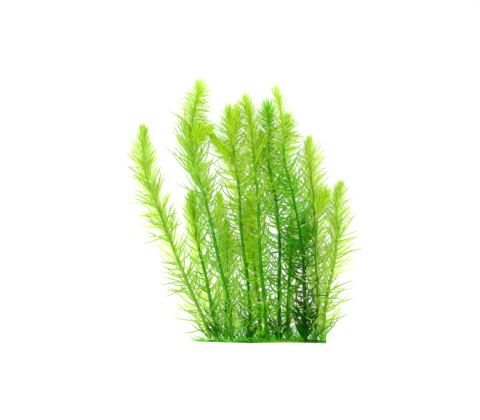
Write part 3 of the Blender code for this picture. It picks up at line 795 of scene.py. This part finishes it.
# The looks of the stems. Each has its own habit and its own route, x, y and z in mm from its foot to its
# tip, and gives what differs from this plain look.
plainLook = {
    "crowding": 1.0,  # times the habit's density
    "leafSize": 1.0,
    "sideLean": 0.0,  # degrees that leaves on the right stand out further, and those on the left less
    "softTone": 0.4,  # soft leaves' tone, as a share of the firm ones', lighter as part of their painted glow
    "softBroad": (0.7, 0.7, 0.85, 1.2, 1.2),  # soft leaves' width, at the distances in ageing
    "pale": (0.2, 0.0),  # extra painted glow of soft leaves and of firm ones
    "softPaintedGlow": 1.0,  # share of the soft leaves' painted glow that is kept
    "firmness": 1.0,  # how far firm leaves take the aged greens, with their painted shade
    "darkFoot": 0.0,  # mm up from the foot with crowded dark leaves
    "shootsSideOnly": False,
    "redness": 0.0,  # of the stem
    "toneAt": (0.0, 25.0, 110.0),  # mm below the tip, for stemTones
}
# tones are the stems' own greens, lighter at the young tips, and partly painted light: crowded tufts and
# branches that lie in shade are given lighter tones to make up for their shade
shootLooks = {
    "shoot_01": {
        "route": [
            (-19.0, -79.0, 1.6), (-22.5, -68.0, 4.0), (-32.0, -46.0, 5.0), (-43.0, -19.0, 5.2),
            (-51.5, 4.0, 5.2), (-58.0, 22.0, 5.2), (-60.0, 38.5, 5.0), (-60.0, 48.0, 4.6),
        ],
        "habit": closedHabit, "sideLean": -4.0, "softBroad": (0.7, 0.7, 0.8, 0.85, 0.6),
        "tones": (0.16, 0.27, 0.32), "stemTones": (0.12, 0.3, 0.4), "pale": (0.4, 0.2),
    },
    "shoot_02": {
        "route": [
            (-15.0, -79.0, 1.6), (-17.5, -65.0, 4.0), (-22.0, -40.0, 5.0), (-27.5, -17.0, 5.0),
            (-29.5, -2.0, 5.0), (-30.5, 8.5, 4.8),
        ],
        "habit": steepHabit, "crowding": 0.9, "darkFoot": 20.0,
        "tones": (0.22, 0.32, 0.64), "stemTones": (0.4, 0.62, 0.68),
    },
    "shoot_03": {
        "route": [
            (-10.0, -79.0, 1.6), (-10.0, -65.0, 4.2), (-9.5, -41.0, 4.8), (-9.5, -23.0, 4.8),
            (-10.0, -9.0, 4.6),
        ],
        "habit": steepHabit, "firmness": 0.6,
        "tones": (0.22, 0.3, 0.56), "stemTones": (0.45, 0.6, 0.75),
    },
    "shoot_04": {
        "route": [
            (-6.5, -79.0, 1.6), (-8.0, -56.0, 9.0), (-14.0, -30.5, 12.5), (-20.5, 0.0, 12.5),
            (-27.5, 23.5, 12.0), (-31.5, 41.0, 11.5), (-30.5, 53.5, 11.0), (-28.0, 65.0, 10.0),
            (-26.0, 73.8, 9.0),
        ],
        "habit": recurvedHabit, "crowding": 1.08, "sideLean": 14.0,
        "tones": (0.18, 0.27, 0.6), "stemTones": (0.1, 0.4, 0.7), "pale": (0.3, 0.15),
    },
    "shoot_05": {
        "route": [
            (4.0, -79.0, 1.6), (4.5, -59.0, 6.0), (2.0, -32.0, 9.0), (-0.5, -14.0, 9.5),
            (-2.5, 16.0, 9.5), (-5.5, 37.0, 9.5), (-7.0, 52.0, 9.0), (-8.0, 59.5, 8.5),
        ],
        "habit": smileHabit, "darkFoot": 26.0, "softTone": 0.3,
        "tones": (0.15, 0.24, 0.5), "stemTones": (0.25, 0.55, 0.82),
    },
    "shoot_06": {
        "route": [
            (11.0, -79.0, 1.6), (10.0, -56.0, 4.2), (7.0, -32.0, 4.6), (5.5, -11.0, 4.6), (5.0, 6.5, 4.4),
        ],
        "habit": steepHabit, "crowding": 1.35, "firmness": 0.3,
        "tones": (0.1, 0.18, 0.48), "stemTones": (0.3, 0.5, 0.6),
    },
    "shoot_07": {
        "route": [
            (15.0, -79.0, 1.6), (13.5, -59.0, 9.0), (10.5, -26.0, 14.0), (9.5, -2.0, 14.5),
            (8.0, 22.0, 14.5), (5.5, 43.0, 14.0), (4.0, 58.0, 12.5), (2.0, 65.5, 11.5),
        ],
        "habit": openHabit, "sideLean": -8.0, "tones": (0.1, 0.2, 0.6), "stemTones": (0.2, 0.5, 0.75),
    },
    "shoot_08": {
        "route": [
            (22.5, -79.0, 1.6), (22.0, -53.0, 6.5), (22.0, -14.0, 9.5), (19.0, 13.0, 9.5),
            (15.5, 29.5, 9.5), (16.0, 49.0, 9.0), (15.0, 62.0, 8.5),
        ],
        "habit": chevronHabit, "softTone": 0.5, "darkFoot": 16.0,
        "tones": (0.46, 0.44, 0.78), "stemTones": (0.5, 0.72, 0.9),
    },
    "shoot_09": {
        "route": [
            (27.5, -79.0, 1.6), (27.5, -56.0, 4.2), (29.0, -30.5, 4.6), (30.5, -14.0, 4.6), (30.0, -6.0, 4.6),
        ],
        "habit": steepHabit, "softTone": 0.5, "crowding": 0.75,
        "tones": (0.42, 0.52, 0.68), "stemTones": (0.6, 0.78, 0.85),
    },
    "shoot_10": {
        "route": [
            (38.0, -79.0, 1.6), (37.5, -59.0, 8.0), (36.5, -32.0, 13.5), (33.5, -8.0, 15.0),
            (28.5, 16.0, 15.0), (24.5, 34.0, 14.5), (26.0, 49.0, 13.5), (26.5, 55.5, 13.0),
        ],
        "habit": starHabit, "softTone": 0.45, "darkFoot": 26.0,
        "tones": (0.18, 0.47, 1.0), "stemTones": (0.3, 0.68, 0.97),
    },
    "shoot_11": {
        "route": [
            (44.0, -79.0, 1.6), (45.5, -53.0, 6.0), (44.5, -26.0, 8.0), (43.0, 1.0, 8.0),
            (41.0, 25.0, 8.0), (40.5, 41.0, 7.0),
        ],
        "habit": closedHabit, "leafSize": 1.1, "crowding": 0.95, "sideLean": 6.0,
        "tones": (0.04, 0.18, 0.4), "stemTones": (0.2, 0.45, 0.75), "redness": 0.6, "pale": (0.4, 0.2),
    },
    "shoot_12": {
        "route": [
            (48.5, -79.0, 1.6), (50.5, -55.0, 4.0), (55.0, -32.0, 5.0), (57.5, -12.5, 5.0),
            (56.5, 4.0, 5.0), (58.5, 14.0, 4.8),
        ],
        "habit": dict(closedHabit, density=(14.0, 14.0, 8.0, 5.4, 2.6, 1.5)),
        "leafSize": 1.06, "crowding": 0.85, "sideLean": 8.0, "softBroad": (0.7, 0.7, 0.8, 0.75, 0.5),
        "tones": (0.16, 0.24, 0.36), "stemTones": (0.1, 0.25, 0.45), "pale": (0.4, 0.2),
    },
}
branchLooks = {
    "shoot_04_lower_branch": {
        "parent": "shoot_04",
        "route": [(-17.5, -14.0, 12.6), (-15.0, -6.5, 12.0), (-13.0, 2.0, 10.5), (-13.5, 7.5, 9.5)],
        "habit": steepHabit, "firmness": 0.5, "tones": (0.12, 0.16, 0.25), "stemTones": (0.2, 0.3, 0.4),
    },
    "shoot_04_upper_branch": {
        "parent": "shoot_04",
        "route": [(-31.0, 37.0, 11.7), (-28.5, 42.0, 14.0), (-25.0, 46.5, 15.5), (-21.0, 49.0, 15.5)],
        "habit": steepHabit, "leafSize": 1.0, "crowding": 2.0, "firmness": 0.25,
        "tones": (0.06, 0.16, 0.3), "stemTones": (0.15, 0.3, 0.4),
    },
    "shoot_05_lower_branch": {
        "parent": "shoot_05",
        "route": [(-4.0, 25.0, 9.5), (-8.0, 32.5, 7.5), (-13.0, 39.0, 5.8), (-17.5, 44.5, 5.2)],
        "habit": steepHabit, "crowding": 1.4, "firmness": 0.0, "leafSize": 0.75,
        "tones": (0.06, 0.12, 0.2), "stemTones": (0.1, 0.25, 0.35),
    },
    "shoot_05_upper_branch": {
        "parent": "shoot_05",
        "route": [(-6.0, 41.0, 9.4), (-5.0, 50.0, 13.5), (-4.0, 59.5, 15.0)],
        "habit": steepHabit, "crowding": 1.3, "firmness": 0.5,
        "tones": (0.04, 0.1, 0.2), "stemTones": (0.15, 0.3, 0.4),
    },
    "shoot_07_branch": {
        "parent": "shoot_07",
        "route": [(8.0, 23.5, 14.5), (9.0, 32.0, 9.0), (10.5, 40.0, 5.5), (11.0, 45.5, 4.8)],
        # painted glow lifts this branch, which lies in the shade of shoot_07
        "habit": steepHabit, "crowding": 1.3, "firmness": 0.0, "pale": (0.5, 0.25),
        "tones": (0.02, 0.06, 0.12), "stemTones": (0.15, 0.3, 0.4),
    },
    "shoot_10_upper_branch": {
        "parent": "shoot_10",
        "route": [(24.5, 35.0, 14.5), (24.3, 46.0, 17.5), (23.0, 58.0, 18.0), (20.5, 70.0, 17.0)],
        "habit": plumeHabit, "pale": (0.6, 0.3), "tones": (0.14, 0.2, 0.3), "stemTones": (0.15, 0.3, 0.4),
    },
    "shoot_10_lower_branch": {
        "parent": "shoot_10",
        "route": [(36.5, -31.0, 13.6), (37.3, -20.0, 8.0), (37.3, -10.0, 5.0), (37.0, -4.5, 4.6)],
        "habit": steepHabit, "softTone": 0.6, "tones": (0.58, 0.66, 0.74), "stemTones": (0.7, 0.8, 0.8),
    },
    "shoot_11_branch": {
        "parent": "shoot_11",
        "route": [(43.7, -6.5, 8.0), (45.0, 0.5, 10.0), (47.5, 6.5, 11.0), (49.5, 10.0, 11.0)],
        "habit": steepHabit, "leafSize": 1.0, "crowding": 2.0, "firmness": 0.2,
        "tones": (0.1, 0.14, 0.2), "stemTones": (0.1, 0.2, 0.3),
    },
}
baseStemLook = {
    "route": [
        (50.8, -79.0, 1.6), (28.5, -78.7, 1.6), (4.5, -79.1, 1.6), (-16.5, -78.6, 1.6), (-28.0, -78.2, 1.6),
    ],
    "habit": creepingHabit, "leafSize": 0.9, "shootsSideOnly": True,
    "softTone": 0.9, "softPaintedGlow": 0.1, "redness": 0.5, "tones": (0.5, 0.72, 0.8),
    # darkest beside the feet of the dark shoots
    "toneAt": (0.0, 8.0, 16.0, 21.0, 26.0, 33.0, 42.0, 60.0, 66.0, 72.0, 80.0),
    "stemTones": (0.2, 0.7, 0.7, 0.3, 0.7, 0.95, 0.3, 0.4, 0.97, 0.97, 0.4),
}
firstSeed = 100  # each stem has the next seed


# The plant

def growPlant():
    skins = {name: leafSkin(name + "Leaves", skin) for name, skin in leafSkins.items()}
    stemGreen = stemSkin("stemGreen")
    slots = {row["node"]: row["material_slot"] for row in frame["record"]["subparts"]}
    routes = {"base_stem": planStem(baseStemLook["route"], stemForm["baseRadii"])}
    looks = {"base_stem": {**plainLook, **baseStemLook}}
    bareFeet = {"base_stem": 0.0}
    for name, look in shootLooks.items():
        routes[name] = planStem(look["route"], stemForm["shootRadii"], routes["base_stem"])
        looks[name] = {**plainLook, "darkFoot": 5.0, **look}
        bareFeet[name] = stemForm["bareFoot"][0]
    for name, look in branchLooks.items():
        routes[name] = planStem(look["route"], stemForm["branchRadii"], routes[look["parent"]])
        looks[name] = {**plainLook, "leafSize": 0.85, **look}
        bareFeet[name] = stemForm["bareFoot"][1]
    leafCount = 0
    triangles = 0
    for index, (name, route) in enumerate(routes.items()):
        look = looks[name]
        rng = np.random.default_rng(firstSeed + index)
        verts, own, faces = carriedTube(route)
        stem = putMesh(name + "_stem", verts, faces, own, {
            "tone": np.interp(route["lengths"][-1] - own[:, 2], look["toneAt"], look["stemTones"]),
            "redness": np.full(len(verts), look["redness"]),
        })
        stem.data.materials.append(stemGreen)
        verts, own, marks, faces, ringOf, count = leafMesh(route, look, bareFeet[name], rng)
        leaves = putMesh(name + "_leaves", verts, faces, own, marks, ringOf)
        leaves.data.materials.append(skins[slots[name]])
        for piece in (stem, leaves):
            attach(piece, "root")
            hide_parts(name)
        leafCount += count
        triangles += sum(len(part) * (part.shape[1] - 2) for part in faces)
    print("plant grown:", leafCount, "leaves,", triangles, "leaf triangles")


# Studio

cameraLook = {
    "middle": (-1.5, 0.9, 10.0),  # mm, the point in the middle of the picture
    "acrossPicture": 288.0,  # mm
    "lens": 100.0,
    "sensor": 36.0,
    "clipStart": 0.01,  # m
}
studioLook = {
    "floorSize": 4.0,  # m
    "floorDrop": 0.0002,  # m, under the plant
    "floorGrey": (0.07, 0.07, 0.07),
    "floorRoughness": 0.8,
    "floorLight": (1.0, 1.0, 0.94),  # light that the floor gives of its own, as on a light table
    "floorGlow": 0.95,
    "skyLight": (1.0, 1.0, 1.0),
    "skyStrength": 1.58,
    "keyPlace": (-0.55, 0.5, 0.9),  # m
    "keySize": 1.1,
    "keyPower": 10.0,
}


def setCamera(scene):
    # straight above the plant, with the tips at the top of the picture
    camera = bpy.data.objects.new("camera", bpy.data.cameras.new("camera"))
    camera.data.lens = cameraLook["lens"]
    camera.data.sensor_width = cameraLook["sensor"]
    camera.data.clip_start = cameraLook["clipStart"]
    x, y, z = cameraLook["middle"]
    distance = cameraLook["acrossPicture"] * cameraLook["lens"] / cameraLook["sensor"]
    camera.location = (x * mm, y * mm, (z + distance) * mm)
    scene.collection.objects.link(camera)
    scene.camera = camera


def setFloor(scene):
    half = studioLook["floorSize"] / 2
    corners = [(-half, -half, 0.0), (half, -half, 0.0), (half, half, 0.0), (-half, half, 0.0)]
    mesh = bpy.data.meshes.new("floor")
    mesh.from_pydata(corners, [], [(0, 1, 2, 3)])
    floor = bpy.data.objects.new("floor", mesh)
    floor.location.z = -studioLook["floorDrop"]
    scene.collection.objects.link(floor)
    material = bpy.data.materials.new("floorPaper")
    material.use_nodes = True
    shader = material.node_tree.nodes["Principled BSDF"]
    shader.inputs["Base Color"].default_value = (*studioLook["floorGrey"], 1.0)
    shader.inputs["Roughness"].default_value = studioLook["floorRoughness"]
    shader.inputs["Emission Color"].default_value = (*studioLook["floorLight"], 1.0)
    shader.inputs["Emission Strength"].default_value = studioLook["floorGlow"]
    mesh.materials.append(material)
    floor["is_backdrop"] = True


def setLights(scene):
    world = bpy.data.worlds.new("sky")
    scene.world = world
    world.use_nodes = True
    sky = world.node_tree.nodes["Background"]
    sky.inputs["Color"].default_value = (*studioLook["skyLight"], 1.0)
    sky.inputs["Strength"].default_value = studioLook["skyStrength"]
    key = bpy.data.lights.new("keyLight", "AREA")
    key.size = studioLook["keySize"]
    key.energy = studioLook["keyPower"]
    lamp = bpy.data.objects.new("keyLight", key)
    lamp.location = studioLook["keyPlace"]
    aim = -np.array(studioLook["keyPlace"])
    tilt = math.atan2(math.hypot(aim[0], aim[1]), -aim[2])
    lamp.rotation_euler = (tilt, 0.0, math.atan2(aim[0], -aim[1]))
    scene.collection.objects.link(lamp)


def setStudio():
    scene = bpy.context.scene
    scene.view_settings.view_transform = "Standard"
    setCamera(scene)
    setFloor(scene)
    setLights(scene)
    print("studio set")


setStudio()
growPlant()
sizes = {"cad": [list(corner) for corner in cadBox], "looks": [list(corner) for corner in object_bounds()]}
for name, box in sizes.items():
    print(name, "box in mm:", [[round(value / mm, 1) for value in corner] for corner in box])
